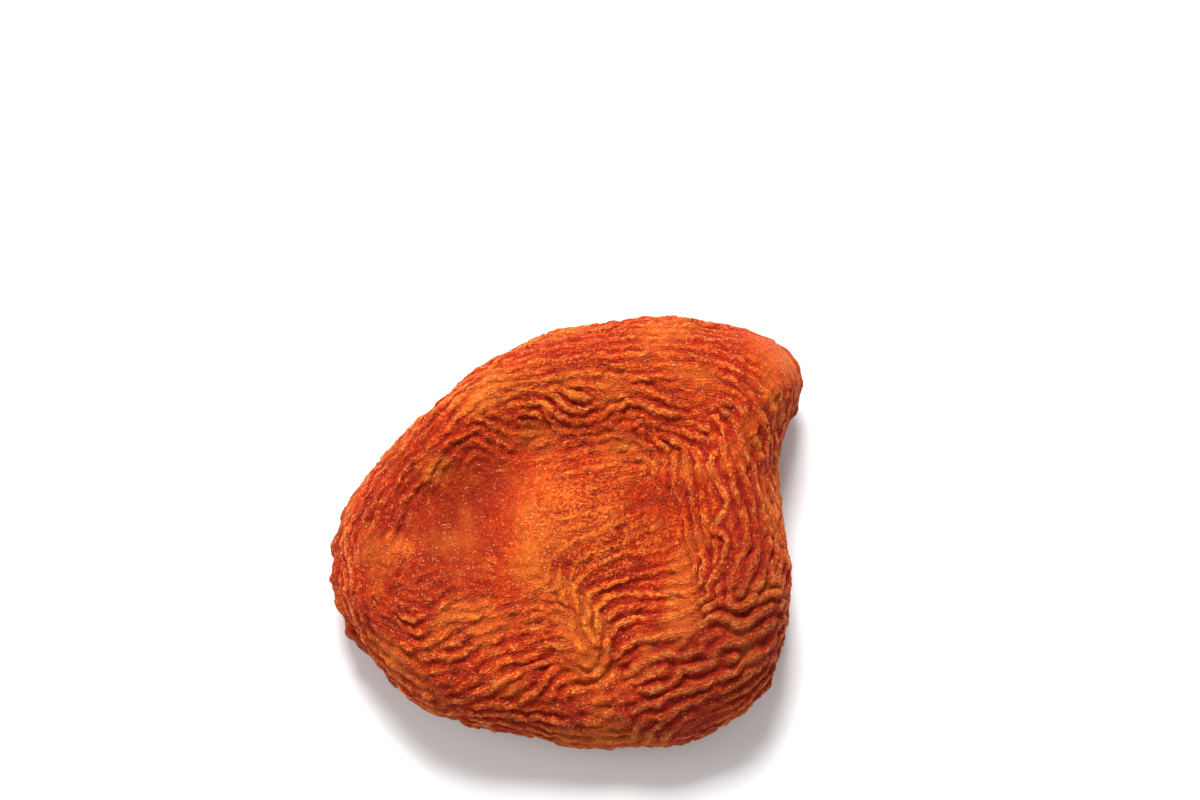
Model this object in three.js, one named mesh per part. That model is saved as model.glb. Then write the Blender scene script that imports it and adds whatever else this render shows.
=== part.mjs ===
// One half of a stoned, dried apricot with its skin on, lying on its cut side.
// Millimetres, +Z up. The origin is on the resting surface, under the middle of the bounding box.
// +Z is the skin side, and +X and +Y are the long and the short way across it.
//
// The half has dried into a thick, rounded rim around a thin, sunken middle. The skin side dips
// where it sank towards the hollow left by the stone, and the cut side has that hollow itself.
// It grew as one piece, so it is one closed solid: a ball whose points are moved onto the fruit.

import * as THREE from "three";
import { mergeVertices } from "three/addons/utils/BufferGeometryUtils.js";

// Driving dimensions.
const LENGTH = 46.4; // across X, which the outline's shares are half of
const HEIGHT = 13.6; // from the resting surface to the crest of the rim, before the relief below
const PRESSED = 0.35; // how far the lowest waves of the rim are pressed flat where it rests
const FLESH_COLOUR = 0xc4501c;

// The ball's triangles. SKIN_SHARE is how much closer together they lie on the skin side.
const BALL_DETAIL = 19;
const SKIN_SHARE = 1.6;
const PROFILE_STEPS = 600;

// Outline seen from above: [angle in degrees from +X, radius as a share of half the length].
// The far corner near 40 degrees is where the skin was drawn out to the stalk.
const OUTLINE = [
  [0, 0.93],
  [21, 0.97],
  [29, 1.08],
  [35, 1.23],
  [42, 1.27],
  [49, 1.255],
  [62, 1.15],
  [82, 0.985],
  [101, 0.915],
  [124, 0.845],
  [148, 0.865],
  [171, 0.972],
  [189, 1.0],
  [210, 0.965],
  [228, 0.93],
  [249, 0.838],
  [265, 0.836],
  [281, 0.865],
  [300, 0.97],
  [319, 1.03],
  [339, 1.0],
];

// Section from the middle of the skin side, round the rim, to the roof of the stone's hollow:
// [share of the outline's radius, share of the height].
const SECTION = [
  [0, 0.79],
  [0.22, 0.795],
  [0.42, 0.82],
  [0.62, 0.9],
  [0.79, 0.945],
  [0.91, 0.85],
  [0.98, 0.65],
  [1, 0.46],
  [0.985, 0.28],
  [0.93, 0.12],
  [0.85, 0.025],
  [0.76, 0],
  [0.68, 0.06],
  [0.61, 0.18],
  [0.54, 0.3],
  [0.43, 0.39],
  [0.25, 0.44],
  [0, 0.46],
];
const WIDEST_ROW = 7; // the row of SECTION where the rim is widest

// Swells and dips of the skin side: centre, half widths along and across, turn and rise.
const RELIEF = [
  { x: 0, y: 1.8, along: 5.2, across: 3.6, turn: -20, rise: 1.4 }, // hump over the middle
  { x: -9.5, y: 4.3, along: 5.5, across: 3.4, turn: 32, rise: -2.1 }, // long dip on the left
  { x: 10, y: -1.2, along: 3.2, across: 5, turn: 12, rise: -2.5 }, // deep dip on the right
  { x: 2, y: 8.9, along: 6, across: 2, turn: -6, rise: -0.6 }, // trough inside the far rim
  { x: 2, y: 14.6, along: 13, across: 3.4, turn: 3, rise: 0.9 }, // high crest of the far rim
  { x: 15.6, y: -1.7, along: 2.2, across: 9, turn: 0, rise: 0.9 }, // crest of the right rim
  { x: 2.6, y: -14.1, along: 2, across: 1.7, turn: 0, rise: -1.1 }, // pinch between two folds
  { x: 1, y: -18.6, along: 17, across: 6.5, turn: 0, rise: -4.4 }, // near shoulder falls away
  { x: -19, y: -4, along: 3, across: 9, turn: 8, rise: -1.2 }, // left shoulder falls away
];

// Waves of the whole body: how many round the rim, how high, and where they start (degrees).
const REST_WAVES = [
  { count: 3, height: 0.55, start: 20 },
  { count: 7, height: 0.22, start: 75 },
];
const SIDE_WAVES = [
  { count: 9, height: 0.16, start: 10 },
  { count: 14, height: 0.12, start: 130 },
];

const HALF_LENGTH = LENGTH / 2;
const radians = THREE.MathUtils.degToRad;

function waves(list, angle) {
  return list.reduce(
    (sum, w) => sum + w.height * Math.cos(w.count * angle + radians(w.start)),
    0,
  );
}

// The radius of the outline at any angle, from a smooth closed curve through OUTLINE.
function makeOutline() {
  const knots = OUTLINE.map(([degrees, share]) => {
    const angle = radians(degrees);
    const radius = share * HALF_LENGTH;
    return new THREE.Vector3(radius * Math.cos(angle), radius * Math.sin(angle), 0);
  });
  const curve = new THREE.CatmullRomCurve3(knots, true, "centripetal");
  const points = curve.getPoints(OUTLINE.length * 24);
  const table = points
    .map((p) => ({ angle: (Math.atan2(p.y, p.x) + 2 * Math.PI) % (2 * Math.PI), radius: p.length() }))
    .sort((a, b) => a.angle - b.angle);
  return (angle) => {
    const turned = (angle + 2 * Math.PI) % (2 * Math.PI);
    const next = table.findIndex((row) => row.angle > turned);
    const after = table[next < 0 ? 0 : next];
    const before = table[(next < 0 ? table.length : next || table.length) - 1];
    const gap = (after.angle - before.angle + 2 * Math.PI) % (2 * Math.PI);
    const past = (turned - before.angle + 2 * Math.PI) % (2 * Math.PI);
    return THREE.MathUtils.lerp(before.radius, after.radius, gap > 0 ? past / gap : 0);
  };
}

// The section as small steps, each with its radius, its height, how far it follows the skin side's
// relief, and the share of the whole surface that lies before it. Below the widest row the rim
// follows the relief less and less, so that a side sinks with its shoulder and no edge forms.
function makeSection() {
  const knots = SECTION.map(([share, height]) => new THREE.Vector2(share * HALF_LENGTH, height * HEIGHT));
  const curve = new THREE.SplineCurve(knots);
  const widest = WIDEST_ROW / (SECTION.length - 1);
  const steps = [];
  let covered = 0;
  for (let i = 0; i <= PROFILE_STEPS; i++) {
    const at = i / PROFILE_STEPS;
    const point = curve.getPoint(at);
    const skin = 1 - THREE.MathUtils.smoothstep(at, widest - 0.22, widest + 0.2);
    if (i > 0) {
      const last = steps[i - 1];
      const run = Math.hypot(point.x - last.radius, point.y - last.height);
      const dense = THREE.MathUtils.lerp(1, SKIN_SHARE, skin);
      covered += ((point.x + last.radius) / 2) * run * dense;
    }
    steps.push({ radius: Math.max(point.x, 0), height: point.y, skin, covered });
  }
  steps.forEach((step) => (step.covered /= covered));
  return (share) => {
    const next = Math.max(1, steps.findIndex((step) => step.covered >= share));
    const [before, after] = [steps[next - 1], steps[next]];
    const along = (share - before.covered) / (after.covered - before.covered || 1);
    const mix = (key) => THREE.MathUtils.lerp(before[key], after[key], along);
    return { share: mix("radius") / HALF_LENGTH, height: mix("height"), skin: mix("skin") };
  };
}

// The rise of the skin side over the plain section, at a place seen from above.
function reliefAt(x, y) {
  return RELIEF.reduce((sum, swell) => {
    const turn = radians(swell.turn);
    const [dx, dy] = [x - swell.x, y - swell.y];
    const along = (dx * Math.cos(turn) + dy * Math.sin(turn)) / swell.along;
    const across = (dy * Math.cos(turn) - dx * Math.sin(turn)) / swell.across;
    return sum + swell.rise * Math.exp(-(along * along + across * across) / 2);
  }, 0);
}

// Moves each point of a ball to the place on the fruit that it stands for.
function makeHalf() {
  const ball = new THREE.IcosahedronGeometry(1, BALL_DETAIL);
  ball.deleteAttribute("normal");
  ball.deleteAttribute("uv");
  const geometry = mergeVertices(ball, 1e-4);
  const points = geometry.getAttribute("position");
  const outline = makeOutline();
  const section = makeSection();
  for (let i = 0; i < points.count; i++) {
    const way = new THREE.Vector3().fromBufferAttribute(points, i).normalize();
    const angle = Math.atan2(way.y, way.x);
    const at = section((1 - way.z) / 2);
    const rim = at.share ** 4;
    const sideways = rim * waves(SIDE_WAVES, angle);
    const radius = at.share * outline(angle) + sideways;
    const [x, y] = [radius * Math.cos(angle), radius * Math.sin(angle)];
    const lift = rim * (waves(REST_WAVES, angle) - PRESSED);
    const z = at.height + at.skin * reliefAt(x, y) + lift;
    points.setXYZ(i, x, y, Math.max(z, 0));
  }
  geometry.computeBoundingBox();
  const middle = geometry.boundingBox.getCenter(new THREE.Vector3());
  geometry.translate(-middle.x, -middle.y, 0);
  geometry.computeVertexNormals();
  return geometry;
}

const driedFlesh = new THREE.MeshStandardMaterial({
  color: FLESH_COLOUR,
  roughness: 0.6,
  metalness: 0,
});

const half = new THREE.Mesh(makeHalf(), driedFlesh);
half.name = "apricot_half";

const apricot = new THREE.Group();
apricot.add(half);

export default apricot;
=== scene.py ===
# %% [markdown]
# # One dried apricot half
# A ripe apricot is cut in two and the stone comes out. The half dries for days on a tray, skin side
# down, until it feels like soft leather. Its flesh loses most of its water, but the skin hardly
# shrinks, so the skin buckles into long ridges about a millimetre apart.
#
# The plain solid has the right size and place already. It is loaded first and never changed: the
# fine surface is grown on a copy of it.

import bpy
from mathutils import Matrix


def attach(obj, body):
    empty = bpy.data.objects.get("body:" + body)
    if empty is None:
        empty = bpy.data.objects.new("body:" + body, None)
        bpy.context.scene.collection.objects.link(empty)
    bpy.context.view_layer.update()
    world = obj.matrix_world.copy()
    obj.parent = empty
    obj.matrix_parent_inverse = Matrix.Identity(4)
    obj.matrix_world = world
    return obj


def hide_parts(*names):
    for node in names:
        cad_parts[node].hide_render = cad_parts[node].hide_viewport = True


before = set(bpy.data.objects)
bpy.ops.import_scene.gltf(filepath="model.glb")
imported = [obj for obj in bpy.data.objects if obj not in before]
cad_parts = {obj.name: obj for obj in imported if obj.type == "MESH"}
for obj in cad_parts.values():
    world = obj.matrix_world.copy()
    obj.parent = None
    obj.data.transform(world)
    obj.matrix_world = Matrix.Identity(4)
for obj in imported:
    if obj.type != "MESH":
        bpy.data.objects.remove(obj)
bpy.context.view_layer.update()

# %% [markdown]
# ## The view
# The half lies flat, and a fruit this small is looked at from close by. A long lens keeps its sides
# from bulging. The camera stands on the near side, almost overhead, so that the whole skin shows.
# It aims a little past the fruit, which sets the fruit low in the frame, left of the middle.

# %% Place the camera
import math

import bmesh
import bpy
import numpy as np
from mathutils import Matrix, Vector, kdtree, noise

MM = 0.001
HEART = Vector((0, 0, 7)) * MM
EYE_ANGLE = math.radians(77)
EYE_DISTANCE = 333 * MM
AIM_RIGHT = 2.8 * MM
AIM_UP = 12.5 * MM

scene = bpy.context.scene
to_eye = Vector((0, -math.cos(EYE_ANGLE), math.sin(EYE_ANGLE)))
view_up = Vector((0, math.sin(EYE_ANGLE), math.cos(EYE_ANGLE)))
camera = bpy.data.objects.new("camera", bpy.data.cameras.new("camera"))
camera.data.lens = 100
camera.data.sensor_width = 36
camera.location = HEART + to_eye * EYE_DISTANCE
gaze = (HEART + Vector((1, 0, 0)) * AIM_RIGHT + view_up * AIM_UP - camera.location).normalized()
right = gaze.cross(view_up).normalized()
camera.rotation_euler = Matrix((right, right.cross(gaze), -gaze)).transposed().to_euler()
scene.collection.objects.link(camera)
scene.camera = camera
print("the camera is", round(camera.location.z / MM), "mm above the table")

# %% [markdown]
# ## Table and light
# A plain white table and three soft boxes are enough. Wrinkles only read if the light rakes across
# them, so the strong box stands on the far side. The weak ones, by the camera and on the left, and
# the pale room fill the valleys, which on real fruit glow a little and never go black.

# %% Make the table and the soft boxes
def soft_box(name, place, width, watts):
    """A square lamp that faces the fruit. Its place and width are in millimetres."""
    lamp = bpy.data.lights.new(name, "AREA")
    lamp.size = width * MM
    lamp.energy = watts
    box = bpy.data.objects.new(name, lamp)
    box.location = Vector(place) * MM
    box.rotation_euler = (HEART - box.location).to_track_quat("-Z", "Y").to_euler()
    scene.collection.objects.link(box)


TABLE_HALF_WIDTH = 3.0
TABLE_DROP = 0.02 * MM
TABLE_WHITE = (0.9, 0.9, 0.9, 1)
ROOM_STRENGTH = 0.34

soft_box("far_box", (-50, 380, 450), 220, 5.3)
soft_box("near_box", (-60, -380, 560), 300, 0.9)
soft_box("left_box", (-520, 60, 260), 260, 0.6)

room = bpy.data.worlds.new("room")
room.use_nodes = True
room.node_tree.nodes["Background"].inputs["Color"].default_value = (1, 1, 1, 1)
room.node_tree.nodes["Background"].inputs["Strength"].default_value = ROOM_STRENGTH
scene.world = room
scene.view_settings.view_transform = "Standard"

table_shape = bmesh.new()
bmesh.ops.create_grid(table_shape, x_segments=1, y_segments=1, size=TABLE_HALF_WIDTH)
bmesh.ops.translate(table_shape, verts=table_shape.verts, vec=(0, 0, -TABLE_DROP))
table = bpy.data.objects.new("table", bpy.data.meshes.new("table"))
table_shape.to_mesh(table.data)
table_shape.free()
scene.collection.objects.link(table)

table_white = bpy.data.materials.new("table_white")
table_white.use_nodes = True
table_shader = table_white.node_tree.nodes["Principled BSDF"]
table_shader.inputs["Base Color"].default_value = TABLE_WHITE
table_shader.inputs["Roughness"].default_value = 0.6
table.data.materials.append(table_white)

# %% [markdown]
# ## A finer copy of the half
# The solid comes as loose triangles. Merged, they make one closed skin, and a subdivision rounds it
# and gives it enough points for folds. One level carries the broad folds, and a second one, later,
# carries the fine wrinkles, which are four or five of its points apart.

# %% Copy and round the half
def rounded(piece):
    """Gives the piece one more level of rounding, applied to its mesh."""
    modifier = piece.modifiers.new("rounding", "SUBSURF")
    modifier.levels = 1
    modifier.render_levels = 1
    graph = bpy.context.evaluated_depsgraph_get()
    finer = bpy.data.meshes.new_from_object(piece.evaluated_get(graph))
    piece.modifiers.remove(modifier)
    piece.data = finer


MERGE_GAP = 0.0001 * MM

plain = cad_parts["apricot_half"]
shell = bmesh.new()
shell.from_mesh(plain.data)
bmesh.ops.remove_doubles(shell, verts=shell.verts, dist=MERGE_GAP)
half = bpy.data.objects.new("dried_half", bpy.data.meshes.new("dried_half"))
shell.to_mesh(half.data)
shell.free()
scene.collection.objects.link(half)
print("merged:", len(half.data.vertices), "points")
rounded(half)
print("one level:", len(half.data.vertices), "points")

# %% [markdown]
# ## Reading and moving points
# Growing wrinkles takes hundreds of small steps on every point at once, which numpy does well. Each
# point is pulled by its neighbours. The pull of a link is its cotangent weight, the usual measure
# of how much one point of a bent surface belongs with the next, and it makes the growth the same on
# small and large triangles.

# %% Points, normals and links
def points_of(mesh):
    """The mesh's points in millimetres."""
    flat = np.empty(len(mesh.vertices) * 3, np.float32)
    mesh.vertices.foreach_get("co", flat)
    return flat.reshape(-1, 3).astype(float) / MM


def normals_of(mesh):
    """The direction that the surface faces at each point."""
    flat = np.empty(len(mesh.vertices) * 3, np.float32)
    mesh.vertex_normals.foreach_get("vector", flat)
    return flat.reshape(-1, 3).astype(float)


def put_points(mesh, points):
    mesh.vertices.foreach_set("co", (points * MM).astype(np.float32).ravel())
    mesh.update()


def unit(vectors):
    return vectors / np.maximum(np.linalg.norm(vectors, axis=-1, keepdims=True), 1e-9)


def smooth_step(low, high, value):
    share = np.clip((value - low) / (high - low), 0, 1)
    return share * share * (3 - 2 * share)


class Links:
    """Every link from a point (its row) to a neighbour (its column), and how hard it pulls."""

    def __init__(self, mesh, gentlest=0.02, strongest=3.0):
        points = points_of(mesh)
        count = len(points)
        mesh.calc_loop_triangles()
        corners = np.empty(len(mesh.loop_triangles) * 3, np.int32)
        mesh.loop_triangles.foreach_get("vertices", corners)
        corners = corners.reshape(-1, 3).astype(np.int64)
        keys, pulls = [], []
        area = np.zeros(count)
        for turn in range(3):
            a, b, c = corners[:, turn], corners[:, (turn + 1) % 3], corners[:, (turn + 2) % 3]
            to_b, to_c = points[b] - points[a], points[c] - points[a]
            double_area = np.maximum(np.linalg.norm(np.cross(to_b, to_c), axis=1), 1e-6)
            pull = np.clip((to_b * to_c).sum(1) / double_area, gentlest, strongest) / 2
            keys += [b * count + c, c * count + b]
            pulls += [pull, pull]
            area += np.bincount(a, double_area / 6, count)
        keys, place = np.unique(np.concatenate(keys), return_inverse=True)
        rows = keys // count
        self.rows, self.columns = rows, keys % count
        self.pulls = np.bincount(place, np.concatenate(pulls)) / area[rows]
        self.starts = np.searchsorted(rows, np.arange(count))
        self.totals = np.add.reduceat(self.pulls, self.starts)
        self.ways = points[self.columns] - points[rows]

    def curl(self, values):
        """How far each value lies below the mean of its neighbours, per square millimetre."""
        pulled = self.pulls * values[self.columns]
        return np.add.reduceat(pulled, self.starts) - self.totals * values

    def mean(self, values):
        """The weighted mean of each point's neighbours."""
        pulls = self.pulls if values.ndim == 1 else self.pulls[:, None]
        totals = self.totals if values.ndim == 1 else self.totals[:, None]
        return np.add.reduceat(pulls * values[self.columns], self.starts) / totals

    def slope(self, values):
        """The uphill direction and steepness of values at each point."""
        rise = (values[self.columns] - values[self.rows]) * self.pulls
        return np.add.reduceat(rise[:, None] * self.ways, self.starts) / 2


def noise_at(points, size, offset):
    """Smooth noise from about -1 to 1 with blobs of the given size in millimetres.

    Each offset gives another noise.
    """
    shift = Vector((offset * 17.3, offset * 5.1, offset * 9.7))
    return np.array([noise.noise(Vector(p) / size + shift) for p in points])


links = Links(half.data)
print("links of the first level:", len(links.rows))

# %% [markdown]
# ## Where the skin folds
# The folds of a real half follow the way its flesh pulled as it dried: along the rim, round the
# sunken middle, and in a tight bend where two dips meet. Each line below is the crest of one fold,
# in millimetres across and up the view, and stands for the folds beside it, which grow by
# themselves. Drawn lines are too smooth, so each one also wobbles a little.

# %% Fold lines
FAR_RIM_FOLDS = [
    [(-4.5, 19.2), (0, 19.7), (5, 20.3), (11, 20.8), (16, 20.2)],
    [(-9, 16.1), (-5, 17.7), (0, 18.5), (5, 19), (11, 19.2), (16, 18.6), (20, 16.4), (21.8, 14)],
    [(-6, 15.8), (-2, 16.9), (3, 17.4), (9, 17.5), (14, 17.1), (18, 15.6), (20.8, 13)],
    [(-10, 13), (-7, 14.3), (-4, 14.6), (-1, 15.4), (3, 15.8), (7, 15.2), (11, 15.4)],
]
LEFT_RIM_FOLDS = [
    [(-21.2, 1), (-19.4, 4.6), (-16.2, 8.4), (-13, 11.7), (-10, 14.5), (-6.5, 17.1)],
    [(-19.6, 0), (-17.6, 3.8), (-15, 7), (-12.6, 9.6), (-10, 12.2), (-8, 13.6)],
    [(-18, -1), (-16.4, 2.6), (-14.2, 5.4), (-12.4, 8), (-10, 10.1), (-8, 9.7), (-5.4, 7.8)],
    [(-21.4, -6), (-21.8, -2), (-21.2, 1)],
]
CREST_FOLDS = [
    [(-8, 13.6), (-6, 13.4), (-4, 14.1), (-2, 13.9), (-1, 12.8)],
    [(-1, 11.6), (0.2, 11.1), (1.6, 10.8), (3, 11.2)],
    [(3.4, 11), (4.6, 12.1), (6, 12.9), (7.6, 12.6)],
    [(7.2, 13), (8, 12), (10, 11.8), (12, 11.5), (13.4, 12.1), (15, 12.5), (17, 13.1)],
    [(8, 10.6), (10, 10.2), (11.5, 9.7), (13, 9.2), (15, 9), (16, 8.4)],
    [(7.7, 11.5), (8.6, 9.6), (10, 8), (11, 6.6), (12, 4.6)],
]
MIDDLE_FOLDS = [
    [(-4, 6.8), (-1, 7.2), (2, 7.9), (6, 8.3)],
    [(-3, 5.2), (1, 5.9), (5, 6.6)],
    [(-1, 1), (1, 1.4), (3, 1.7), (5, 2.4), (6.5, 3)],
    [(-1, -2), (1, -0.8), (3, 0), (5, 0.6), (7, 1.5), (8, 2.4)],
    [(0.5, -6), (0.4, -4), (1.5, -2.8), (3.5, -2), (6, -1), (8, 0), (10, 0.9)],
    [(0.9, -8), (1, -5.6), (2.2, -4.1), (4, -3.1), (6.5, -2.3), (9, -1.8), (11, -1.4)],
]
BEND_FOLDS = [
    [(2.6, -11.2), (2, -9.6), (1.9, -8), (2.4, -6.6), (3.6, -5.6), (5.2, -4.9), (8, -4.3),
     (11, -3.8)],
    [(3.3, -11.4), (3, -9.6), (3.1, -8), (3.9, -6.9), (5.6, -6.3), (8, -6.3), (10.4, -6.5),
     (12.2, -6.1), (13.4, -5), (13.9, -3.6)],
    [(4, -12.4), (4.3, -10.6), (5.3, -9.3), (7.5, -8.7), (10, -8.8), (12, -8.1), (13.6, -6.8),
     (14.5, -5), (15.3, -3.4), (15.8, -1.9), (15.4, -0.4), (14.5, 0.4), (15.4, 1.4), (15.9, 2.8),
     (15.2, 4.6), (14.4, 6.4), (14.8, 8)],
]
RIGHT_RIM_FOLDS = [
    [(12, 8), (12, 5.4), (12.5, 3), (13, 0.4), (13.3, -1.8), (13.9, -3.4)],
    [(10.8, 7.6), (10.6, 5.6), (11.2, 3.2), (12, 0.8), (12.3, -1.4)],
    [(15, 9), (16.1, 7), (16.7, 5), (17.1, 3), (17.8, 1), (18, -1.5), (17, -3.6)],
    [(16, 12), (17.5, 9), (18.6, 6), (19.5, 3), (20.2, 0), (20.3, -3)],
    [(18.4, 14), (19.6, 11), (20, 8), (20.6, 5), (21.2, 2), (21.4, -1)],
]
NEAR_LEFT_FOLDS = [
    [(-17, -8.5), (-15.1, -8.8), (-13.3, -8.2), (-11.8, -7), (-9.9, -6.2)],
    [(-13.8, -9.4), (-11.5, -8.8), (-9.9, -8.8), (-6.9, -8.2), (-4.6, -8.2), (-3.3, -7.6),
     (-0.7, -7.9)],
    [(-12.5, -11.7), (-9.9, -10.6), (-7.6, -9.9), (-5.3, -9.6), (-3.8, -8.8), (-2.3, -8.8)],
    [(-14.2, -12.8), (-12.1, -12.3), (-10.7, -12.6), (-8.4, -11.2), (-6.1, -10.5), (-3.8, -9.9),
     (-1.5, -9.6)],
    [(-16.4, -11.5), (-14.8, -11.9), (-13.6, -11.3)],
    [(-7.2, -13.7), (-6.1, -12.9), (-4.4, -13.1), (-3, -12.3), (-2.3, -11.6), (0.2, -11.7)],
    [(-9.9, -16.6), (-7.2, -15.5), (-5.3, -14.5), (-3, -13.5), (-1, -12.9), (0.3, -13.5)],
    [(-12.7, -17.2), (-10.7, -16.9), (-8.4, -16.1), (-7.2, -15.2)],
    [(-4.4, -17.1), (-3, -16), (-1.5, -14.3), (-0.7, -13.5)],
    [(-8.7, -18.2), (-4.7, -18.5), (-0.7, -19.2), (3.3, -19.2)],
]
NEAR_RIGHT_FOLDS = [
    [(4.8, -12.5), (6.6, -11.1), (8.5, -10.8), (10, -10.3), (12, -10.3), (13.1, -9.6), (14.6, -8.9),
     (16.1, -8.8), (17.4, -9.6), (18.9, -8.5), (20.3, -7.6)],
    [(6, -14.3), (7.9, -13.1), (10, -12.5), (11.5, -12.8), (13.1, -12.2), (14.6, -12.5),
     (15.4, -11.7), (17.4, -11.2), (19.2, -10), (21, -8.9)],
    [(7.3, -16), (9.2, -15.5), (10.6, -15.1), (11.4, -14), (13.2, -13.9), (15, -13)],
    [(2.8, -15.8), (4.2, -15.2), (5, -13.9)],
    [(6.9, -18.1), (8.8, -17.4), (10.6, -16.3), (12.8, -15.5), (14.6, -15.1), (16.4, -14),
     (18.4, -12.8), (20.7, -10.9)],
    [(8.8, -19.7), (10, -18.6), (12.5, -17.1), (14.6, -16.3), (16.9, -15.2), (19.2, -13.7)],
]
# Each set: how high its crests stand, how wide a fold is (both mm), how firmly its lines hold.
FOLD_SETS = [
    (FAR_RIM_FOLDS, 0.5, 1.0, 0.5),
    (LEFT_RIM_FOLDS, 0.75, 1.1, 0.7),
    (CREST_FOLDS, 0.42, 1.0, 0.4),
    (MIDDLE_FOLDS, 0.26, 0.95, 1.0),
    (BEND_FOLDS, 0.56, 1.15, 1.0),
    (RIGHT_RIM_FOLDS, 0.6, 1.0, 0.6),
    (NEAR_LEFT_FOLDS, 0.6, 1.05, 0.7),
    (NEAR_RIGHT_FOLDS, 0.7, 1.35, 0.7),
]
LINE_STEP = 0.15
WOBBLES = [(0.34, 1.9), (0.14, 0.7)]  # how far and how long one sway is (mm)


def smooth_line(knots):
    """Even steps along a smooth curve through the knots, with a small wobble."""
    knots = np.array(knots, float)
    ends = np.vstack([2 * knots[0] - knots[1], knots, 2 * knots[-1] - knots[-2]])
    steps = []
    for before, start, end, after in zip(ends, ends[1:], ends[2:], ends[3:]):
        count = max(2, int(np.linalg.norm(end - start) / LINE_STEP))
        t = (np.arange(count) / count)[:, None]
        steps.append(0.5 * (2 * start + (end - before) * t
                            + (2 * before - 5 * start + 4 * end - after) * t ** 2
                            + (3 * start - before - 3 * end + after) * t ** 3))
    line = np.vstack(steps)
    raised = np.column_stack([line, np.zeros(len(line))])
    for far, size in WOBBLES:
        line = line + far * np.column_stack([noise_at(raised, size, 1), noise_at(raised, size, 2)])
    return line


fold_lines = [(smooth_line(knots), facts) for folds, *facts in FOLD_SETS for knots in folds]
print(len(fold_lines), "fold lines,", sum(len(line) for line, _ in fold_lines), "steps")

# %% [markdown]
# ## Laying the lines on the skin
# The lines are flat so far. Each step of a line drops along the line of sight onto the skin, which
# gives it a place and a direction in space. A kd-tree finds the closest points quickly.

# %% Drop the lines
NEAR_POINTS = 4
SOFTENING = 0.05  # keeps a point right on the line from counting for everything
FACING_AT_LEAST = 0.05
MEASURED_FROM = np.array([-0.5, -0.5])  # where the lines and zones have their 0, 0, from the heart


def as_seen(points):
    """How far right and up each point appears from the camera, in the lines' own millimetres."""
    away = points - np.array(HEART) / MM
    nearness = EYE_DISTANCE / MM / (EYE_DISTANCE / MM - away @ np.array(to_eye))
    seen = np.column_stack([away[:, 0], away @ np.array(view_up)]) * nearness[:, None]
    return seen - MEASURED_FROM


def tree_of(points):
    tree = kdtree.KDTree(len(points))
    for index, point in enumerate(points):
        tree.insert(point, index)
    tree.balance()
    return tree


points = points_of(half.data)
facing = normals_of(half.data) @ np.array(to_eye)
shown = np.flatnonzero(facing > FACING_AT_LEAST)
flat_view = np.column_stack([as_seen(points[shown]), np.zeros(len(shown))])
view_tree = tree_of(flat_view)

crests = {"place": [], "way": [], "height": [], "width": [], "firm": []}
for line, (height, width, firm) in fold_lines:
    places = []
    for right, up in line:
        found = view_tree.find_n((right, up, 0), NEAR_POINTS)
        weights = np.array([1 / (gap + SOFTENING) for _, _, gap in found])
        near = points[shown[[index for _, index, _ in found]]]
        places.append((near * weights[:, None]).sum(0) / weights.sum())
    places = np.array(places)
    taper = np.sin(np.linspace(0.06, 0.94, len(places)) * math.pi) ** 0.5
    crests["place"].append(places)
    crests["way"].append(unit(np.gradient(places, axis=0)))
    crests["height"].append(height * taper)
    crests["width"].append(np.full(len(places), width))
    crests["firm"].append(np.full(len(places), firm))
crests = {name: np.concatenate(parts) for name, parts in crests.items()}
crest_tree = tree_of(crests["place"])
print("steps laid on the skin:", len(crests["place"]))

# %% [markdown]
# ## Which way the folds run
# Between the lines the direction has to be filled in. A direction has no front or back, so it can't
# be averaged as an arrow. It is kept as a small symmetric table, the arrow times itself, which can
# be averaged, and its longest axis is the direction again. Away from every line the folds run round
# the rim, and inside the hollow of the cut side they run along the stone that lay there.

# %% Fill in the directions
LINE_REACH = 1.1
PLAIN_WEIGHT = 0.012  # what the rim's own direction counts, next to 1 on a line
HOLLOW_RADIUS = 14
HOLLOW_CORE = 0.6 * HOLLOW_RADIUS
STALK_ANGLE = math.radians(40)
SPREAD_ROUNDS = 50
TURNED_AWAY = -0.2  # the drawn lines act only where the skin faces the camera more than this
PAIRS = [(0, 0), (1, 1), (2, 2), (0, 1), (0, 2), (1, 2)]


def tables_of(ways, weights):
    """The six numbers of each direction's table."""
    return np.column_stack([ways[:, a] * ways[:, b] for a, b in PAIRS]) * weights[:, None]


def main_way(tables, normals):
    """The direction each table stands for, along the surface, and how sure it is (0 to 1)."""
    full = np.empty((len(tables), 3, 3))
    for column, (a, b) in enumerate(PAIRS):
        full[:, a, b] = full[:, b, a] = tables[:, column]
    flatten = np.eye(3) - normals[:, :, None] * normals[:, None, :]
    sizes, axes = np.linalg.eigh(flatten @ full @ flatten)
    sure = (sizes[:, 2] - sizes[:, 1]) / np.maximum(sizes[:, 2] + sizes[:, 1], 1e-12)
    return axes[:, :, 2], sure


normals = normals_of(half.data)
ring = unit(np.column_stack([-points[:, 1], points[:, 0], np.zeros(len(points))]))
inside = smooth_step(HOLLOW_RADIUS, HOLLOW_CORE, np.hypot(points[:, 0], points[:, 1]))
inside *= normals[:, 2] < 0
stalk_way = np.tile((math.cos(STALK_ANGLE), math.sin(STALK_ANGLE), 0), (len(points), 1))
tables = tables_of(ring, PLAIN_WEIGHT * (1 - inside))
tables += tables_of(stalk_way, PLAIN_WEIGHT * inside)
for index, point in enumerate(points):
    if facing[index] > TURNED_AWAY:
        _, step, gap = crest_tree.find(point)
        if gap < LINE_REACH:
            tables[index] = tables_of(crests["way"][step][None], np.ones(1))[0]
for _ in range(SPREAD_ROUNDS):
    tables = (tables + links.mean(tables)) / 2
along, sure = main_way(tables, normals)
print("directions set, mean sureness", round(float(sure.mean()), 2))

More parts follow.
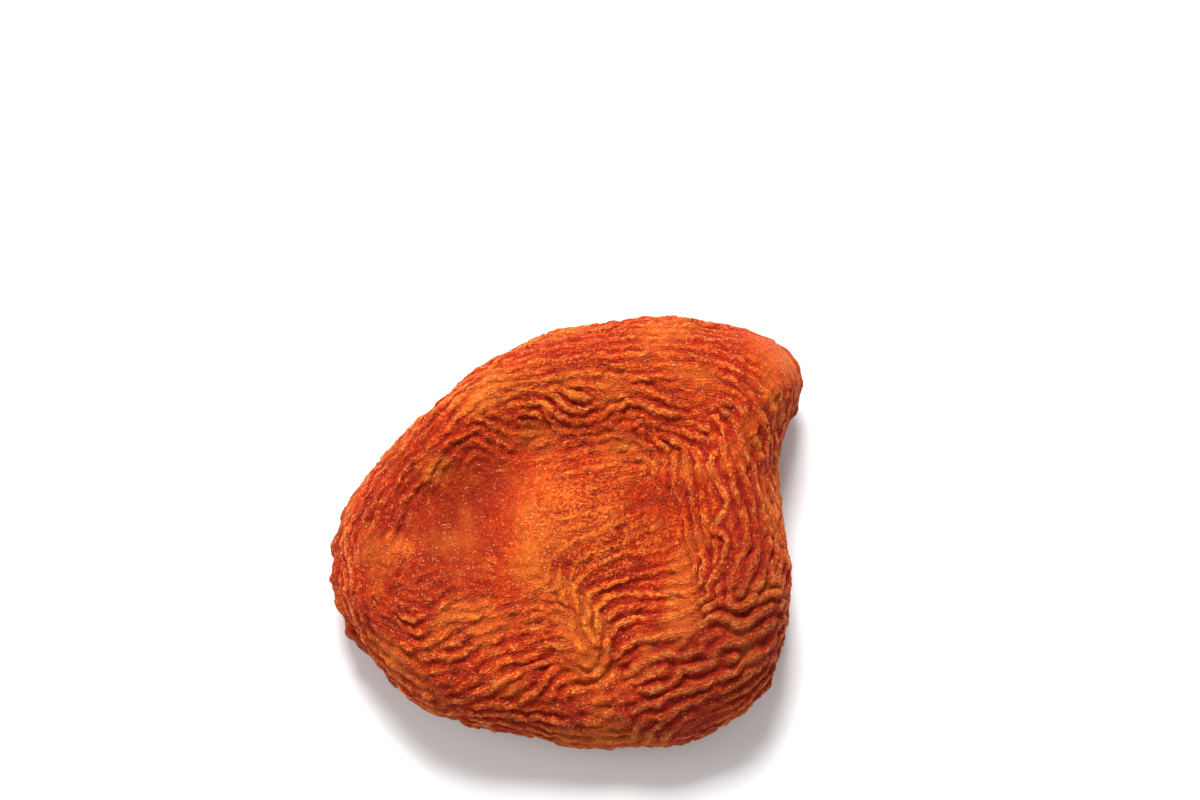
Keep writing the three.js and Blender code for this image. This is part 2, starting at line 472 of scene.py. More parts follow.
# %% [markdown]
# ## Smooth and rough places
# Where the skin stuck to thin flesh it stayed smooth: the hump in the middle and the two dips. On
# the near side and by the bend it had much to spare. Each zone below raises or lowers the fold
# height, changes the fold width, and makes its folds straighter or more crooked.

# %% Zones of the skin
# Oval spots. Name: right, up, both half widths, turn in degrees, then what the spot adds to the
# fold height and fold width (as shares), the straightness and the sharpness of the crests.
ZONES = {
    "hump": (0, 3.4, 5.6, 3.4, -8, -0.66, -0.05, 0.1, 0.5),
    "left dip": (-10, 2.8, 6.2, 4.6, 28, -0.85, 0, -0.2, 0.3),
    "left plain": (-12, -4.2, 6.5, 3.2, 0, -0.55, 0, -0.3, 0.3),
    "right dip": (9.6, 1.4, 2.6, 4, 14, -0.65, -0.1, 0.1, 0.4),
    "arcs": (4.5, -3, 5.5, 3.8, 25, -0.5, 0.06, 0.4, 1.2),
    "left of the arcs": (-3.5, -2.5, 2.5, 4, 0, -0.5, 0, 0, 0.3),
    "pad": (1.6, -13, 1.5, 1, 0, -0.8, 0, 0, 0),
    "under the far crest": (-2, 10.6, 6, 2, 0, -0.3, -0.1, -0.2, 0),
    "right end of the far crest": (14.5, 15, 4.5, 2.2, -20, -0.4, -0.05, -0.1, 0),
    "far corner": (22.6, 18.4, 3.4, 3.2, 0, -0.95, 0.2, 0.3, 0),
    "near right": (13, -12.5, 8, 5.5, 20, 0.2, 0.42, -0.7, -0.25),
    "right rim": (18, 3, 3, 10, 0, 0.2, 0.1, -0.4, -0.2),
    "near left": (-8, -13, 9, 4.5, -8, 0.05, 0.1, -0.1, 0),
}
ZONE_COLUMNS = ("height", "width", "straight", "thin")
SPOT_SOFTNESS = 1.4


def spots_value(spots, column, points, facing):
    """The sum of what oval spots add at each point. It fades where the skin turns away."""
    seen = as_seen(points)
    total = np.zeros(len(points))
    for right, up, along_half, across_half, turn, *amounts in spots.values():
        angle = math.radians(turn)
        gap = seen - (right, up)
        a = (gap[:, 0] * math.cos(angle) + gap[:, 1] * math.sin(angle)) / along_half
        b = (gap[:, 1] * math.cos(angle) - gap[:, 0] * math.sin(angle)) / across_half
        total += amounts[column] * np.exp(-(a * a + b * b) / SPOT_SOFTNESS)
    return total * smooth_step(-0.1, 0.4, facing)


def zone_value(points, facing, what):
    return spots_value(ZONES, ZONE_COLUMNS.index(what), points, facing)


print(len(ZONES), "zones")

# %% [markdown]
# ## Growing folds
# Real folds form because a fold pushes its own skin up and pulls the skin beside it down. The same
# thing happens here to a height value on each point: it is blurred a little, a wider blur is taken
# away, and what is left is made stronger. After some rounds the surface is full of ridges one fold
# width apart. A blur along the fold direction makes them run that way. Near a drawn line the values
# are held to its crest, so the ridges beside it follow its course.

# %% Grow ridges on a surface
# Blurs in squares of the fold width over a full turn. Waves of that width differ most between them.
NARROW_BLUR = 0.462
WIDE_BLUR = 4 * NARROW_BLUR
GAIN = 2.9
STIFFEST = 97  # per cent of the points: the few with stronger links take as many steps as the rest
SAFE_STEP = 0.95
GUIDE_REACH = 0.75  # in fold widths, and so is the next one
HOLD_REACH = 0.45


def grow(links, width, along, straight, boost, start, held_to, hold, rounds):
    """Ridge values from -1 to 1. A boost makes up for folds that the blur along them weakens."""
    reach = (width / (2 * math.pi)) ** 2
    most = np.percentile(links.totals, STIFFEST)
    steps = math.ceil(float((WIDE_BLUR * reach).max() * most))
    narrow_steps = max(1, round(steps * NARROW_BLUR / WIDE_BLUR))
    rate = np.minimum(WIDE_BLUR * reach / steps, SAFE_STEP / links.totals)
    slant = ((unit(links.ways) * along[links.rows]).sum(1)) ** 2 * 2
    lengthwise = links.pulls * slant ** 2
    lengthwise_totals = np.add.reduceat(lengthwise, links.starts)
    long_rate = np.minimum(straight * reach / narrow_steps, 0.9 / lengthwise_totals)
    gain = GAIN * (1 + boost)
    value = start.copy()
    for _ in range(rounds):
        for _ in range(narrow_steps):
            pulled = np.add.reduceat(lengthwise * value[links.columns], links.starts)
            value = value + long_rate * (pulled - lengthwise_totals * value)
        for _ in range(narrow_steps):
            value = value + rate * links.curl(value)
        wide = value.copy()
        for _ in range(steps - narrow_steps):
            wide = wide + rate * links.curl(wide)
        value = np.tanh(gain * (value - wide))
        value += hold * (held_to - value)
    return value


def crest_guide(points, facing):
    """The profile of the closest drawn fold at each point, how firmly to hold to it, its height."""
    guide, hold, height = np.zeros(len(points)), np.zeros(len(points)), np.zeros(len(points))
    for index in np.flatnonzero(facing > TURNED_AWAY):
        _, step, gap = crest_tree.find(points[index])
        width = crests["width"][step]
        if gap < width * GUIDE_REACH:
            guide[index] = math.cos(2 * math.pi * gap / width)
            hold[index] = crests["firm"][step] * math.exp(-((gap / (HOLD_REACH * width)) ** 2))
            height[index] = crests["height"][step]
    return guide, hold, height


print("crest steps to be guided by:", len(crests["height"]))

# %% [markdown]
# ## Broad folds first
# Under the fine ridges the flesh itself lies in folds about three millimetres wide. The zones lower
# them in the middle and raise them on the near side, where the thick rim sagged as it dried.

# %% Broad folds
BROAD_WIDTH = 2.9
BROAD_HEIGHT = 0.42
BROAD_ROUNDS = 22
START_SPREAD = 0.3
draw = np.random.default_rng(11)

broad_height = BROAD_HEIGHT * np.clip(1 + zone_value(points, facing, "height"), 0.08, 1.6)
broad_start = draw.normal(0, START_SPREAD, len(points))
broad_width = np.full(len(points), BROAD_WIDTH)
still = np.zeros(len(points))
broad = grow(links, broad_width, along, 1.2 * sure, 0.0, broad_start, still, 0.0, BROAD_ROUNDS)
broad = links.mean(links.mean(broad))
put_points(half.data, points + normals * (broad_height * broad / 2)[:, None])
print("broad folds: crest to valley up to", round(float(broad_height.max()), 2), "mm")

# %% [markdown]
# ## The cut edge
# All round the half the skin ends where the knife went through. The flesh there dried into a thin
# lip with a groove between it and the skin. The lip stands out further on the left and at the far
# corner, where it shows from above, and turns under everywhere else.

# %% Lip and groove
SECTORS = 72
LIP_BELOW = 1.3
LIP_OUT = 0.3
LIP_MIDDLE, LIP_HALF = -0.35, 0.55  # mm above the edge, and so are the next two
GROOVE_MIDDLE, GROOVE_HALF = 0.65, 0.42
GROOVE_DEPTH = 0.45
EDGE_SWAY = 0.5
CORNER_ANGLE = 41
# where the lip shows from above: angle and half width in degrees, extra rise and reach in mm
LIP_SHOWS = [(192, 24, 1.5, 0.75), (CORNER_ANGLE, 12, 1.4, 0.45)]

rounded(half)
points = points_of(half.data)
normals = normals_of(half.data)
facing = normals @ np.array(to_eye)
angle = np.degrees(np.arctan2(points[:, 1], points[:, 0])) % 360
radius = np.hypot(points[:, 0], points[:, 1])
outward = np.column_stack([points[:, 0], points[:, 1], np.zeros(len(points))]) / radius[:, None]

sector = (angle / 360 * SECTORS).astype(int) % SECTORS
outermost = [np.flatnonzero(sector == k)[radius[sector == k].argmax()] for k in range(SECTORS)]
centres = (np.arange(SECTORS) + 0.5) * 360 / SECTORS


def all_round(values):
    """Smooths one value per sector and reads it at every point's angle."""
    smooth = sum(np.roll(values, k) for k in range(-2, 3)) / 5
    return np.interp(angle, np.r_[centres - 360, centres, centres + 360], np.tile(smooth, 3))


def near_angle(middle, half_width):
    """1 at one angle round the fruit, and fading to 0 on both sides of it."""
    return np.exp(-(((angle - middle + 180) % 360 - 180) / half_width) ** 2)


edge_height = all_round(points[outermost, 2])
rim_share = radius / all_round(radius[outermost])
edge_height += EDGE_SWAY * noise_at(outward * 22, 5.0, 3) - LIP_BELOW
lip_out = np.full(len(points), LIP_OUT)
for middle, half_width, rise, reach in LIP_SHOWS:
    edge_height += rise * near_angle(middle, half_width)
    lip_out += reach * near_angle(middle, half_width)
on_wall = smooth_step(0.25, 0.75, (normals * outward).sum(1))
uneven = 0.75 + 0.5 * noise_at(points, 2.2, 4)
above_edge = points[:, 2] - edge_height
lip = lip_out * np.exp(-((above_edge - LIP_MIDDLE) / LIP_HALF) ** 2)
groove = GROOVE_DEPTH * np.exp(-((above_edge - GROOVE_MIDDLE) / GROOVE_HALF) ** 2)
points += outward * (on_wall * uneven * (lip - groove))[:, None]
cut_side = np.where(normals[:, 2] < 0.2, 1 - smooth_step(-0.25, 0.45, above_edge), 0.0)
put_points(half.data, points)
edge_range = [round(float(height), 1) for height in (edge_height.min(), edge_height.max())]
print("the edge is", edge_range, "mm above the table")

# %% [markdown]
# ## Fine wrinkles
# The fine wrinkles grow on the second level. Their start is noise, so that no two are alike, and
# the drawn folds hold them near each line. On the steep wall and the cut side, where no line is
# drawn, they get a boost. The hollow stays nearly smooth, and so does the drawn-out far corner.

# %% Fine wrinkles
FINE_WIDTH = 1.02
WIDTH_SWAY = 0.28
FINE_ROUNDS = 26
SETTLE_ROUNDS = 4
CROOKED = 0.9  # how far the direction strays, in radians
CUT_CROOKED = 1.2
LENGTHWISE = 0.9
WALL_BOOST = 0.7
GUIDE_HOLD = 0.35  # how much of a line's hold acts in each round
CUT_WIDER = 0.25

links = Links(half.data)
normals = normals_of(half.data)
coarse = tree_of(points_of(half.data)[: len(tables)])
nearest = np.array([coarse.find(p)[1] for p in points])
fine_tables = tables[nearest]
for _ in range(SETTLE_ROUNDS):
    fine_tables = links.mean(fine_tables)
along, sure = main_way(fine_tables, normals)

guide, hold, line_height = crest_guide(points, facing)
stray = CROOKED * (1 - hold) * noise_at(points, 1.6, 8)
stray += CUT_CROOKED * smooth_step(0.2, -0.3, normals[:, 2]) * noise_at(points, 6.0, 14)
stray = stray[:, None]
along = unit(along * np.cos(stray) + np.cross(normals, along) * np.sin(stray))

fold_width = FINE_WIDTH * np.clip(1 + zone_value(points, facing, "width"), 0.8, 1.6)
fold_width *= 1 + WIDTH_SWAY * noise_at(points, 2.8, 5)
under = smooth_step(0.3, -0.3, normals[:, 2])
fold_width *= 1 + CUT_WIDER * under
straight = sure * (1 - 0.5 * under) + zone_value(points, facing, "straight")
straight = LENGTHWISE * np.clip(straight, 0.05, 1.3)
fine_start = draw.normal(0, START_SPREAD, len(points))
steepness = smooth_step(0.7, 0.1, normals[:, 2])
boost = WALL_BOOST * steepness * straight
hold_each = GUIDE_HOLD * hold
fine = grow(links, fold_width, along, straight, boost, fine_start, guide, hold_each, FINE_ROUNDS)
print("fine wrinkles grown, mean height", round(float(fine.mean()), 2))

# %% [markdown]
# ## How high the wrinkles stand
# The height is a separate value. It follows the zones, and noise makes some wrinkles stand out and
# others fade, as they do on real skin. On a drawn line the line's own height counts where it is
# the greater one.

# %% Wrinkle heights
SKIN_HEIGHT = 0.58
WALL_LOWER = 0.35  # the share by which folds are lower on the steep wall, where they grow fuller
CUT_HEIGHT = 0.6
HOLLOW_HEIGHT = 0.3
CORNER_HALF = 11  # degrees
CORNER_LOWER = 0.75
HEIGHT_SWAYS = [(0.7, 2.4, 6), (0.6, 1.2, 13)]  # share, size in mm and offset of each noise
SHARPNESS = 1.15  # above 1 the crests are narrower than the valleys

in_hollow = smooth_step(0.0, -0.5, normals[:, 2]) * smooth_step(0.78, 0.6, rim_share)
plain_height = SKIN_HEIGHT * (1 - WALL_LOWER * steepness)
plain_height += (CUT_HEIGHT - plain_height) * under * cut_side
plain_height += (HOLLOW_HEIGHT - CUT_HEIGHT) * in_hollow
fold_height = plain_height * np.clip(1 + zone_value(points, facing, "height"), 0.1, 1.5)
corner = near_angle(CORNER_ANGLE, CORNER_HALF) * smooth_step(0.82, 0.95, rim_share)
fold_height *= 1 - CORNER_LOWER * corner * smooth_step(-0.4, 0.1, normals[:, 2])
for share, size, offset in HEIGHT_SWAYS:
    fold_height *= 1 + share * noise_at(points, size, offset)
line_height *= np.clip(0.85 + 0.7 * noise_at(points, 1.4, 9), 0.35, 1.2)
fold_height += hold * (np.maximum(line_height, fold_height) - fold_height)
sharpness = SHARPNESS + np.clip(zone_value(points, facing, "thin"), -0.45, 1)
crest = np.clip((fine + 1) / 2, 0, 1) ** sharpness
print("wrinkle height: mean", round(float(fold_height.mean()), 2), "mm")

# %% [markdown]
# ## From values to folds
# Raising every point along its normal gives even waves. Real folds have fat round crests and thin
# valleys, because the skin bulges over. So each point also slides a little downhill, which widens
# the crests and closes the valleys. Last, the folds are pushed aside a little here and there.

# %% Raise and pinch the folds
PINCH = 0.08  # mm downhill, on a fold of the usual height
USUAL_HEIGHT = 0.5
STEEPEST = 1.2
SWAYS = [(0.28, 1.2), (0.13, 0.55)]  # how far folds are pushed aside, and how long one push is (mm)
LOW_FOLD = 0.4  # mm: lower folds than this are pushed less

lift = fold_height * (crest - crest.mean())
points = points + normals * lift[:, None]
downhill = -links.slope(crest)
steep = np.linalg.norm(downhill, axis=1, keepdims=True)
pinched = downhill / np.maximum(steep, 1e-6) * np.minimum(steep, STEEPEST)
slide = PINCH * fold_height / USUAL_HEIGHT * np.sqrt(crest)
points = points + slide[:, None] * pinched
for far, size in SWAYS:
    push = np.column_stack([noise_at(points, size, offset) for offset in (10, 11, 12)])
    points = points + far * push * np.clip(fold_height / LOW_FOLD, 0.2, 1)[:, None]
points[:, 2] = np.maximum(points[:, 2], 0)
put_points(half.data, points)
print("surface from", points.min(0).round(1), "to", points.max(0).round(1), "mm")

# %% [markdown]
# ## What the finish needs to know
# The finish follows the shape: crests are painted lighter and valleys darker, which is painted
# highlight and painted shade, and the cut side is bare flesh. Each of these facts is stored on the
# points of the mesh, with the direction of the fold, so that fine streaks can run along it. Oval
# spots make the skin more yellow or more red, partly its own colour and partly painted light and
# shade, and mark where the sugar came out, with painted glints.

# %% Store the facts on the points
def store(name, values):
    """Keeps one value or one direction for each point of the half."""
    kind = "FLOAT_VECTOR" if values.ndim == 2 else "FLOAT"
    field = "vector" if values.ndim == 2 else "value"
    layer = half.data.attributes.new(name, kind, "POINT")
    layer.data.foreach_set(field, values.astype(np.float32).ravel())


# Oval spots. Name: right, up, both half widths, turn in degrees, then warmth and dustiness.
# The first is partly the fruit's own colour and partly painted light and shade: the hump, the arcs
# and the far crest are painted lighter where they face the lamp, the left dip and the trough hold
# painted shadow under the far crest, the right side and the near side are painted shade where they
# turn from the light, and the near right is partly painted shade. The yellow patch, the pale patch
# and the left lip are the fruit's own colour. The second is sugar with painted glints.
TINTS_AND_PAINTED_LIGHT = {
    "hump": (-0.2, 2.5, 6.5, 4.6, 0, 0.9, 0.1),
    "yellow patch": (-16.2, -1.8, 1.4, 0.8, 0, 1.5, 0.6),
    "left lip": (-22, -2.5, 0.9, 6, 3, 0.35, 0.6),
    "left dip": (-7.7, 3.5, 5, 3.4, 25, -1, -0.1),
    "right dip": (8.8, 3, 2.4, 1.2, 0, -0.8, 0.1),
    "pale patch": (8.6, 6.4, 1.1, 0.8, 0, 0.6, 0.7),
    "far rim": (4.3, 18.5, 13, 2.2, 3, 0.1, 0.3),
    "far crest": (-3, 13.2, 9, 1.8, 3, 0.8, 0),
    "right crest": (11.3, 9.5, 4, 3, -30, 0.3, 0),
    "far corner": (22.3, 18.5, 2.5, 3, 0, 0.35, -0.3),
    "trough": (-0.7, 11, 7, 2.3, 0, -0.35, 0),
    "near right": (13.3, -12, 8, 6, 0, -0.85, -0.25),
    "near left": (-12.7, -12, 7, 4, 0, -0.15, 0.25),
    "left plain": (-13.7, -3, 5, 4, 0, -0.75, 0.35),
    "left rim": (-17, 5, 3, 8, -35, -0.2, 0.05),
    "right side": (18.3, 1, 3.4, 10, 0, -0.6, -0.1),
    "arcs": (3.5, -4.5, 6, 4.5, 25, 0.95, 0.1),
    "near side": (3, -19.5, 15, 2.2, 0, -0.55, 0.15),
}
SUGAR_DUST_AND_GLINT = 0.3
SIGN_ROUNDS = 60

# A direction has no front, but the fibres need one that doesn't flip from point to point.
for _ in range(SIGN_ROUNDS):
    along = along * np.where((along * links.mean(along)).sum(1) < 0, -1.0, 1.0)[:, None]

relief = np.clip(fold_height / LOW_FOLD, 0, 1.4)
# From this value crests are painted lighter and valleys darker: painted highlight and painted
# shade.
store("crest", 0.5 + (crest - 0.6) * relief)
store("cut_side", cut_side)
store("along", along)
store("folded", smooth_step(0.1, 0.42, fold_height))
store("warm_and_painted_light", spots_value(TINTS_AND_PAINTED_LIGHT, 0, points, facing))
store("sugar_dust_and_glint", SUGAR_DUST_AND_GLINT + spots_value(TINTS_AND_PAINTED_LIGHT, 1, points, facing))
for face in half.data.polygons:
    face.use_smooth = True
print("stored:", [a.name for a in half.data.attributes if not a.name.startswith(".")])

# %% [markdown]
# ## Node helpers
# A finish made in code is a small tree of nodes. A few helpers keep it readable: they add a node
# with its inputs, do one sum, stretch a range, scale a vector, mix two colours, read a noise of a
# given size, or start a node group.

# %% Helpers for nodes
def node(tree, kind, inputs=None, **settings):
    """Adds a node. Each input is a plain value or another node's output."""
    new = tree.nodes.new("ShaderNode" + kind)
    for name, value in settings.items():
        setattr(new, name, value)
    for name, value in (inputs or {}).items():
        if isinstance(value, bpy.types.NodeSocket):
            tree.links.new(value, new.inputs[name])
        else:
            new.inputs[name].default_value = value
    return new


def calc(tree, operation, *values):
    """One sum, such as MULTIPLY or ADD."""
    return node(tree, "Math", dict(enumerate(values)), operation=operation).outputs[0]


def spread(tree, value, low, high, to_low=0.0, to_high=1.0):
    """Stretches low..high to to_low..to_high, and stops at the ends."""
    ends = {"From Min": low, "From Max": high, "To Min": to_low, "To Max": to_high}
    return node(tree, "MapRange", {"Value": value, **ends}).outputs["Result"]


def scaled(tree, vector, factor):
    """The vector times a factor."""
    return node(tree, "VectorMath", {0: vector, "Scale": factor}, operation="SCALE").outputs[0]


def blend_colours(tree, share, first, second):
    """The first colour where share is 0 and the second where it is 1."""
    mix = node(tree, "Mix", {"Factor": share}, data_type="RGBA")
    for socket, colour in ((mix.inputs[6], first), (mix.inputs[7], second)):
        if isinstance(colour, bpy.types.NodeSocket):
            tree.links.new(colour, socket)
        else:
            socket.default_value = (*colour, 1)
    return mix.outputs[2]


def noise_of(tree, spot, size, detail, rough):
    """Noise with blobs of the given size in millimetres."""
    inputs = {"Vector": spot, "Scale": 1 / size, "Detail": detail, "Roughness": rough}
    return node(tree, "TexNoise", inputs).outputs["Fac"]


def start_group(name, inputs, outputs):
    """An empty node group with its inputs and its outputs, which are plain values."""
    group = bpy.data.node_groups.new(name, "ShaderNodeTree")
    for socket, kind in inputs.items():
        group.interface.new_socket(socket, in_out="INPUT", socket_type="NodeSocket" + kind)
    for socket in outputs:
        group.interface.new_socket(socket, in_out="OUTPUT", socket_type="NodeSocketFloat")
    given = group.nodes.new("NodeGroupInput").outputs
    result = group.nodes.new("NodeGroupOutput").inputs
    return group, given, result


helpers = (node, calc, spread, scaled, blend_colours, noise_of, start_group)
print("helpers ready:", [helper.__name__ for helper in helpers])

# %% [markdown]
# ## Fibres along the folds
# Between the folds the dried skin is covered with hair-thin creases, and they run the same way. A
# noise is smeared along the stored direction to draw them: its value is read at several places in a
# row and averaged. That works round every bend, where a stretched noise would shear.

# %% The fibre group
FIBRE_READS = 9


def fibre_group():
    inputs = {"Spot": "Vector", "Along": "Vector", "Size": "Float", "Reach": "Float"}
    group, given, result = start_group("fibres", inputs, ("Fibre", "Ridge"))
    scale = calc(group, "DIVIDE", 1.0, given["Size"])
    total = 0.0
    for read in range(FIBRE_READS):
        share = read / (FIBRE_READS - 1) - 0.5
        step = calc(group, "MULTIPLY", given["Reach"], share)
        far = scaled(group, given["Along"], step)
        place = node(group, "VectorMath", {0: given["Spot"], 1: far}, operation="ADD").outputs[0]
        value = node(group, "TexNoise", {"Vector": place, "Scale": scale, "Detail": 0.0})
        total = calc(group, "ADD", total, value.outputs["Fac"])
    average = calc(group, "DIVIDE", total, float(FIBRE_READS))
    fibre = spread(group, average, 0.36, 0.64)
    group.links.new(fibre, result["Fibre"])
    off = calc(group, "ABSOLUTE", calc(group, "SUBTRACT", average, 0.5))
    group.links.new(spread(group, off, 0.0, 0.07, 1.0, 0.0), result["Ridge"])
    return group


fibres = fibre_group()
print("fibre group:", len(fibres.nodes), "nodes")

# %% [markdown]
# ## Sugar specks and painted glints
# As it dries, sugar comes out of the flesh in pale grains a tenth of a millimetre across. The pale
# grains also stand for the small glints on them, which are painted highlights. They are the points
# of a Voronoi pattern, and only some of its cells get a grain.

# %% The speck group
def speck_group():
    inputs = {"Spot": "Vector", "Gap": "Float", "Amount": "Float"}
    group, given, result = start_group("specks", inputs, ("Speck",))
    scale = calc(group, "DIVIDE", 1.0, given["Gap"])
    cells = node(group, "TexVoronoi", {"Vector": given["Spot"], "Scale": scale})
    luck = node(group, "SeparateColor", {"Color": cells.outputs["Color"]}).outputs[0]
    chosen = calc(group, "LESS_THAN", luck, given["Amount"])
    reach = spread(group, luck, 0.0, given["Amount"], 0.2, 0.5)
    dot = spread(group, calc(group, "DIVIDE", cells.outputs["Distance"], reach), 0.3, 1.0, 1.0, 0.0)
    group.links.new(calc(group, "MULTIPLY", dot, chosen), result["Speck"])
    return group


specks = speck_group()
print("speck group:", len(specks.nodes), "nodes")

# %% [markdown]
# ## The skin and the flesh
# One finish covers the half, because skin and flesh grew together. It starts from one value, which
# is low in the valleys and high on the crests, so it paints shade into the valleys and highlights
# onto the crests. The stored shape gives most of it. The fibres and some fine noise break it up,
# more on folded skin than on smooth skin.

# %% From valley to crest
PER_METRE = 1000.0  # the textures are measured in millimetres
THIN_FIBRE = {"Size": 0.16, "Reach": 0.5}
THICK_FIBRE = {"Size": 0.36, "Reach": 1.3}
ON_SMOOTH_SKIN = 0.25  # how much of the fibres is left there
MOTTLE = (0.32, 3.0, 0.85)  # each noise has its size in mm, its detail and its roughness
SQUIGGLE = (0.5, 1.5, 0.6)
SQUIGGLE_WIDTH = 0.06
# what each adds to the value
THIN_SHARE, THICK_SHARE, PAINTED_RIDGE_HIGHLIGHT_SHARE, MOTTLE_SHARE, SQUIGGLE_SHARE = 0.3, 0.22, 0.16, 2.0, 0.24

flesh = bpy.data.materials.new("dried_flesh")
flesh.use_nodes = True
tree = flesh.node_tree
shader = tree.nodes["Principled BSDF"]


def fact(name):
    return node(tree, "Attribute", attribute_name=name).outputs["Fac"]


def part_of(value, share):
    return calc(tree, "MULTIPLY", value, share)


def add_share(total, value, middle, share):
    """Adds a share of value, measured from its middle, to the total."""
    return calc(tree, "MULTIPLY_ADD", calc(tree, "SUBTRACT", value, middle), share, total)


spot = scaled(tree, node(tree, "TexCoord").outputs["Object"], PER_METRE)
along_fact = node(tree, "Attribute", attribute_name="along").outputs["Vector"]
cut_fact, warm_and_painted_light_fact = fact("cut_side"), fact("warm_and_painted_light")
fibrous = spread(tree, fact("folded"), 0.0, 1.0, ON_SMOOTH_SKIN, 1.0)
thin = node(tree, "Group", {"Spot": spot, "Along": along_fact, **THIN_FIBRE}, node_tree=fibres)
thick = node(tree, "Group", {"Spot": spot, "Along": along_fact, **THICK_FIBRE}, node_tree=fibres)
mottle = noise_of(tree, spot, *MOTTLE)
off_middle = calc(tree, "SUBTRACT", noise_of(tree, spot, *SQUIGGLE), 0.5)
squiggle = spread(tree, calc(tree, "ABSOLUTE", off_middle), 0.0, SQUIGGLE_WIDTH, 1.0, 0.0)

height = add_share(fact("crest"), thin.outputs["Fibre"], 0.5, part_of(fibrous, THIN_SHARE))
height = add_share(height, thick.outputs["Fibre"], 0.5, part_of(fibrous, THICK_SHARE))
# The ridges of the thick fibres paint thin highlight lines along the crests.
height = add_share(height, thick.outputs["Ridge"], 0.4, part_of(fibrous, PAINTED_RIDGE_HIGHLIGHT_SHARE))
height = add_share(height, mottle, 0.5, MOTTLE_SHARE)
height = add_share(height, squiggle, 0.3, SQUIGGLE_SHARE)
print("height value:", len(tree.nodes), "nodes")

# %% [markdown]
# ## Colour
# The colour goes from dark red in the valleys, which is painted shade, to orange on the crests and
# pale orange on their tips, which is painted highlight. Blotches of dark red and clouds of yellow
# lie over it. Some spots are more yellow and others more red: partly the fruit's own colour, partly
# painted light and painted shade. The cut side is darker.

# %% Colour from the value
# The valley colour is painted shade, and the tip colour is a painted highlight.
PAINTED_VALLEY_SHADE = (0.36, 0.016, 0.004)
SLOPE = (0.56, 0.038, 0.005)
CREST = (0.82, 0.11, 0.008)
PAINTED_TIP_HIGHLIGHT = (1.0, 0.36, 0.08)
DARK_RED = (0.24, 0.012, 0.006)
YELLOW = (1.0, 0.27, 0.03)
CUT_FLESH = (0.34, 0.03, 0.003)
BETWEEN = ((0.4, SLOPE), (0.78, CREST))
BLOTCH = (1.6, 3.0, 0.6)
CLOUD = (6.0, 2.0, 0.5)
# the most that each layer can cover of what is under it
BLOTCH_MOST, RED_MOST, WARM_MOST, CLOUD_MOST, CUT_MOST = 0.52, 0.75, 0.8, 0.34, 0.6

ramp = node(tree, "ValToRGB", {"Fac": height})
stops = ramp.color_ramp.elements
stops[0].color, stops[1].color = (*PAINTED_VALLEY_SHADE, 1), (*PAINTED_TIP_HIGHLIGHT, 1)
for position, shade in BETWEEN:
    stops.new(position).color = (*shade, 1)

blotches = spread(tree, noise_of(tree, spot, *BLOTCH), 0.42, 0.66)
clouds = spread(tree, noise_of(tree, spot, *CLOUD), 0.48, 0.7)
# Below 0 the spot value paints shade in dark red, and above 0 it paints light in yellow, besides
# the fruit's own tones.
redder_and_painted_shade = spread(tree, warm_and_painted_light_fact, 0.0, -1.0, 0.0, RED_MOST)
warmer_and_painted_light = spread(tree, warm_and_painted_light_fact, 0.0, 1.0, 0.0, WARM_MOST)
layers = (
    (part_of(blotches, BLOTCH_MOST), DARK_RED),
    (redder_and_painted_shade, DARK_RED),
    (part_of(warmer_and_painted_light, spread(tree, height, 0.2, 0.8)), YELLOW),
    (part_of(clouds, CLOUD_MOST), YELLOW),
    (part_of(cut_fact, CUT_MOST), CUT_FLESH),
)
colour = ramp.outputs["Color"]
for share, shade in layers:
    colour = blend_colours(tree, share, colour, shade)
print("colour:", len(stops), "stops and", len(layers), "layers")

# %% [markdown]
# ## Sugar and painted glints on the skin
# Grains would be round dots, so the places they are read at are shaken by a fine noise, which makes
# them ragged. A wider noise gathers them in clumps.

# %% Sugar and painted glints on the skin
# The grain colour is pale sugar and painted glint in one.
SUGAR_AND_GLINT = (1.0, 0.55, 0.2)
SUGAR_AND_GLINT_MOST = 0.65
GRAIN_GAP = 0.26
CLUMP = (1.1, 2.0, 0.6)
SHAKE = 0.35  # mm
SHAKE_SIZE = 1 / 6

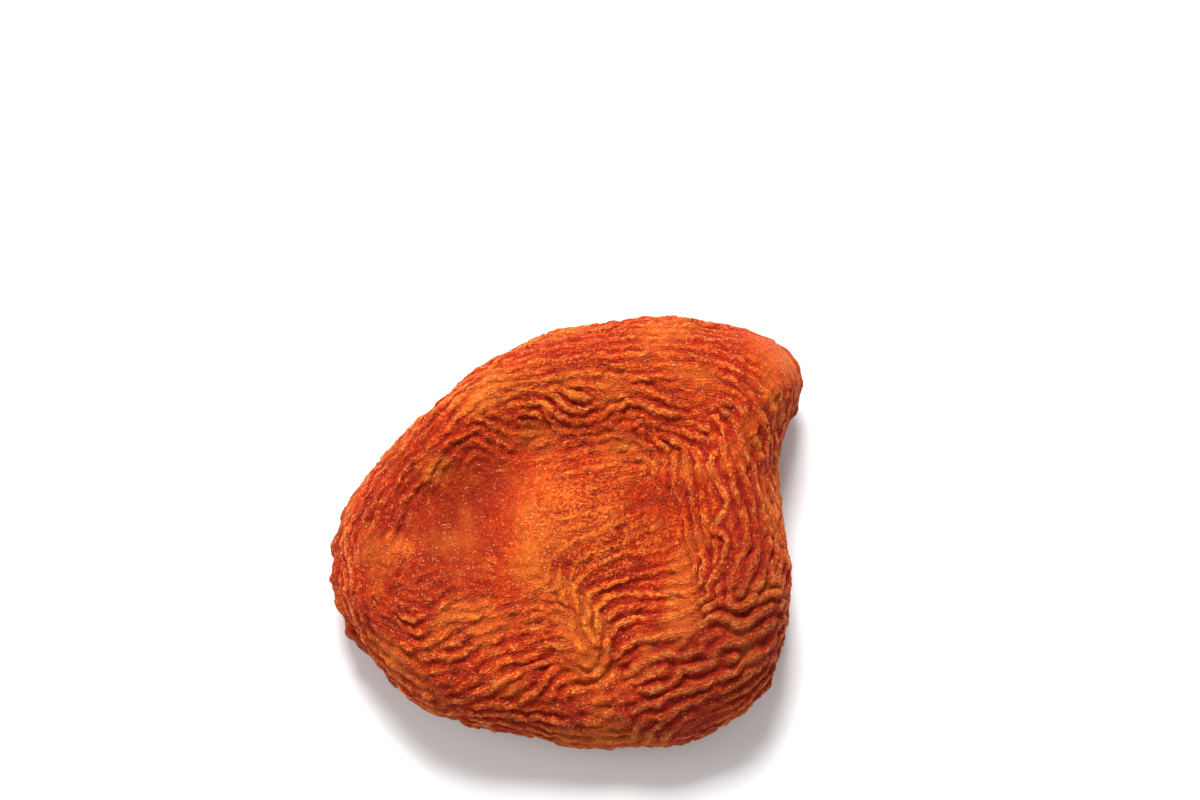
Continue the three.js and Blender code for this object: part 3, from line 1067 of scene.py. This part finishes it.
shake = {"Vector": spot, "Scale": 1 / SHAKE_SIZE, "Detail": 1.0}
swirl = node(tree, "TexNoise", shake).outputs["Color"]
shaken = {0: spot, 1: scaled(tree, swirl, SHAKE)}
ragged = node(tree, "VectorMath", shaken, operation="ADD").outputs[0]
clumps = spread(tree, noise_of(tree, spot, *CLUMP), 0.4, 0.62, 0.15, 1.7)
amount = part_of(spread(tree, fact("sugar_dust_and_glint"), 0.0, 1.0, 0.05, 0.8), clumps)
given = {"Spot": ragged, "Gap": GRAIN_GAP, "Amount": amount}
grain = node(tree, "Group", given, node_tree=specks).outputs["Speck"]
colour = blend_colours(tree, part_of(grain, SUGAR_AND_GLINT_MOST), colour, SUGAR_AND_GLINT)
print("grains in cells of", GRAIN_GAP, "mm")

# %% [markdown]
# ## Shine and small bumps
# Dried skin is dull, and only its crests shine a little. The cut side is smoother and clearer, like
# jelly, so it gets a thin coat. Creases and grains too small for the mesh are bumps, and a little
# light passes through the flesh and softens the valleys.

# %% Shine and small bumps
BUMP_HEIGHT = 0.13 * MM
IN_VALLEYS, ON_CRESTS = 0.72, 0.55  # roughness
CUT_SMOOTHER, GRAIN_SMOOTHER = -0.1, -0.15
COAT = 0.2
FIXED = {
    "IOR": 1.45,
    "Specular IOR Level": 0.12,
    "Coat Roughness": 0.32,
    "Subsurface Weight": 0.15,
    "Subsurface Radius": (1.0, 0.25, 0.08),
    "Subsurface Scale": 0.4 * MM,
}

roughness = spread(tree, height, 0.1, 0.9, IN_VALLEYS, ON_CRESTS)
roughness = calc(tree, "MULTIPLY_ADD", cut_fact, CUT_SMOOTHER, roughness)
roughness = calc(tree, "MULTIPLY_ADD", grain, GRAIN_SMOOTHER, roughness)

bumps = add_share(part_of(grain, 0.3), thin.outputs["Fibre"], 0.0, part_of(fibrous, 0.4))
bumps = add_share(bumps, thick.outputs["Ridge"], 0.0, part_of(fibrous, 0.75))
bumps = add_share(bumps, squiggle, 0.0, 0.5)
bumps = add_share(bumps, mottle, 0.0, 2.2)
bump = node(tree, "Bump", {"Height": bumps, "Strength": 1.0, "Distance": BUMP_HEIGHT})

tree.links.new(colour, shader.inputs["Base Color"])
tree.links.new(roughness, shader.inputs["Roughness"])
tree.links.new(bump.outputs["Normal"], shader.inputs["Normal"])
tree.links.new(part_of(cut_fact, COAT), shader.inputs["Coat Weight"])
for name, value in FIXED.items():
    shader.inputs[name].default_value = value
half.data.materials.clear()
half.data.materials.append(flesh)
print("finish:", len(tree.nodes), "nodes")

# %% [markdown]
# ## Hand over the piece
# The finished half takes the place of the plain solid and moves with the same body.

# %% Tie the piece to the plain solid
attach(half, "root")
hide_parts("apricot_half")
half.data.calc_loop_triangles()
print("triangles:", len(half.data.loop_triangles))
